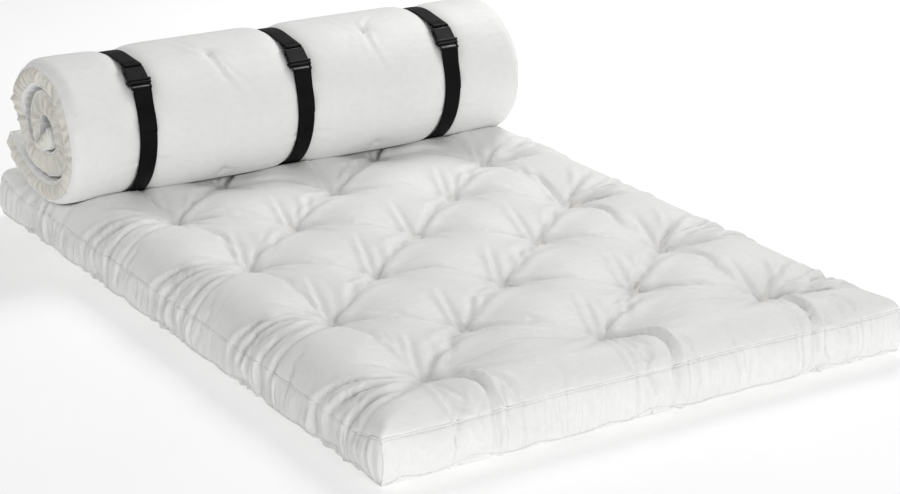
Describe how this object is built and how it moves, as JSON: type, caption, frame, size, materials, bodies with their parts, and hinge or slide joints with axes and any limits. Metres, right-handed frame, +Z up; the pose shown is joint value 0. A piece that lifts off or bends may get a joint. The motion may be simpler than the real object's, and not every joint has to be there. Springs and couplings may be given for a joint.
{
  "type": "futon mattress",
  "caption": "Tufted futon mattress lying flat, with a matching mattress rolled up on its back end and held by buckled webbing straps.",
  "frame": {"origin": "on the floor, under the middle of the flat mattress", "axes": "+X across the width, +Y along the length towards the rolled end, +Z up; the front edge faces -Y"},
  "size_m": [1.4, 2, 0.5008],
  "materials": {
    "panel_cloth": "plain-woven outdoor polyester with a slight sheen",
    "border_cloth": "the same cloth, gathered into fine upright pleats",
    "seam_cloth": "turned seam of the same cloth, with thread",
    "batting": "loose polyester batting",
    "foam": "open-cell foam",
    "tuft_thread": "twisted tufting twine, knotted",
    "webbing": "black woven webbing, slight sheen",
    "strap_thread": "black sewing thread",
    "buckle_plastic": "black moulded plastic, satin"
  },
  "bodies": {
    "mattress": {"seat_back_border": "border_cloth", "seat_bottom_panel": "panel_cloth", "seat_bottom_seam": "seam_cloth", "seat_bottom_tuft_knots": "tuft_thread", "seat_corner_seams": "seam_cloth", "seat_foam_core": "foam", "seat_front_border": "border_cloth", "seat_left_border": "border_cloth", "seat_lower_batting": "batting", "seat_right_border": "border_cloth", "seat_top_panel": "panel_cloth", "seat_top_seam": "seam_cloth", "seat_top_tuft_knots": "tuft_thread", "seat_tuft_twine": "tuft_thread", "seat_upper_batting": "batting"},
    "roll": {"centre_buckle_plug": "buckle_plastic", "centre_buckle_socket": "buckle_plastic", "centre_strap_stitches": "strap_thread", "centre_strap_webbing": "webbing", "left_buckle_plug": "buckle_plastic", "left_buckle_socket": "buckle_plastic", "left_strap_stitches": "strap_thread", "left_strap_webbing": "webbing", "right_buckle_plug": "buckle_plastic", "right_buckle_socket": "buckle_plastic", "right_strap_stitches": "strap_thread", "right_strap_webbing": "webbing", "roll_core_end_border": "border_cloth", "roll_foam_core": "foam", "roll_inner_batting": "batting", "roll_inner_panel": "panel_cloth", "roll_inner_tuft_knots": "tuft_thread", "roll_left_border": "border_cloth", "roll_left_seams": "seam_cloth", "roll_loose_end_border": "border_cloth", "roll_outer_batting": "batting", "roll_outer_panel": "panel_cloth", "roll_outer_tuft_knots": "tuft_thread", "roll_right_border": "border_cloth", "roll_right_seams": "seam_cloth", "roll_tuft_twine": "tuft_thread"},
    "left_prong_left": {"left_buckle_prong_left": "buckle_plastic"},
    "left_prong_right": {"left_buckle_prong_right": "buckle_plastic"},
    "centre_prong_left": {"centre_buckle_prong_left": "buckle_plastic"},
    "centre_prong_right": {"centre_buckle_prong_right": "buckle_plastic"},
    "right_prong_left": {"right_buckle_prong_left": "buckle_plastic"},
    "right_prong_right": {"right_buckle_prong_right": "buckle_plastic"}
  },
  "joints": [
    {"name": "roll_lift", "type": "slide", "parent": "mattress", "child": "roll", "axis": [0, 0, 1], "range_m": [0, 0.45]},
    {"name": "left_prong_left_squeeze", "type": "hinge", "parent": "roll", "child": "left_prong_left", "pos_m": [-0.503, 0.56232, 0.45556], "axis": [0, 0.5878, -0.809], "range_deg": [0, 13], "stiffness_Nm_per_rad": 1},
    {"name": "left_prong_right_squeeze", "type": "hinge", "parent": "roll", "child": "left_prong_right", "pos_m": [-0.473, 0.56232, 0.45556], "axis": [0, -0.5878, 0.809], "range_deg": [0, 13], "stiffness_Nm_per_rad": 1},
    {"name": "centre_prong_left_squeeze", "type": "hinge", "parent": "roll", "child": "centre_prong_left", "pos_m": [-0.045, 0.54928, 0.44384], "axis": [0, 0.6494, -0.7604], "range_deg": [0, 13], "stiffness_Nm_per_rad": 1},
    {"name": "centre_prong_right_squeeze", "type": "hinge", "parent": "roll", "child": "centre_prong_right", "pos_m": [-0.015, 0.54928, 0.44384], "axis": [0, -0.6494, 0.7604], "range_deg": [0, 13], "stiffness_Nm_per_rad": 1},
    {"name": "right_prong_left_squeeze", "type": "hinge", "parent": "roll", "child": "right_prong_left", "pos_m": [0.413, 0.54651, 0.4411], "axis": [0, 0.6626, -0.749], "range_deg": [0, 13], "stiffness_Nm_per_rad": 1},
    {"name": "right_prong_right_squeeze", "type": "hinge", "parent": "roll", "child": "right_prong_right", "pos_m": [0.443, 0.54651, 0.4411], "axis": [0, -0.6626, 0.749], "range_deg": [0, 13], "stiffness_Nm_per_rad": 1}
  ],
  "couplings": [
    {"joint": "left_prong_right_squeeze", "follows": "left_prong_left_squeeze", "ratio": 1},
    {"joint": "centre_prong_right_squeeze", "follows": "centre_prong_left_squeeze", "ratio": 1},
    {"joint": "right_prong_right_squeeze", "follows": "right_prong_left_squeeze", "ratio": 1}
  ]
}
